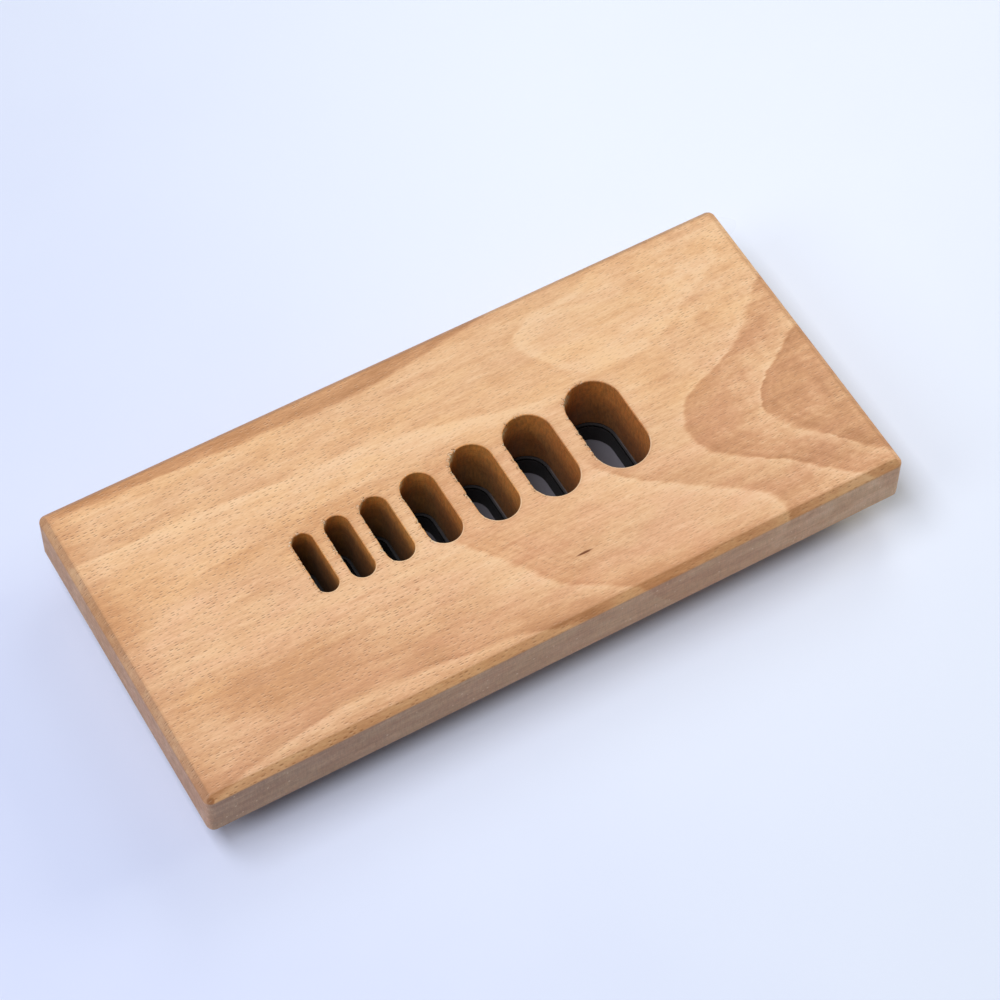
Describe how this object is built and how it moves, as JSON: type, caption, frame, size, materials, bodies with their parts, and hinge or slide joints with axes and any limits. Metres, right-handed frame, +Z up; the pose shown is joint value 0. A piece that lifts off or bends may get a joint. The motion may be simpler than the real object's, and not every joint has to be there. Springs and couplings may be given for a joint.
{
  "type": "pick holder",
  "caption": "Low beech desktop holder with a graded row of through slots with half-round ends, raised on an inset black rubber base.",
  "frame": {"origin": "middle of the underside of the base pad, on the surface that the holder stands on", "axes": "+X along the board towards the widest slot, +Y across the board along the slots, +Z up"},
  "size_m": [0.21, 0.099, 0.0275],
  "materials": {
    "oiled_beech": "satin oil",
    "grey_adhesive": "matte",
    "black_rubber": "matte"
  },
  "bodies": {
    "root": {"beech_board": "oiled_beech", "bonding_sheet": "grey_adhesive", "base_pad": "black_rubber"}
  },
  "joints": []
}
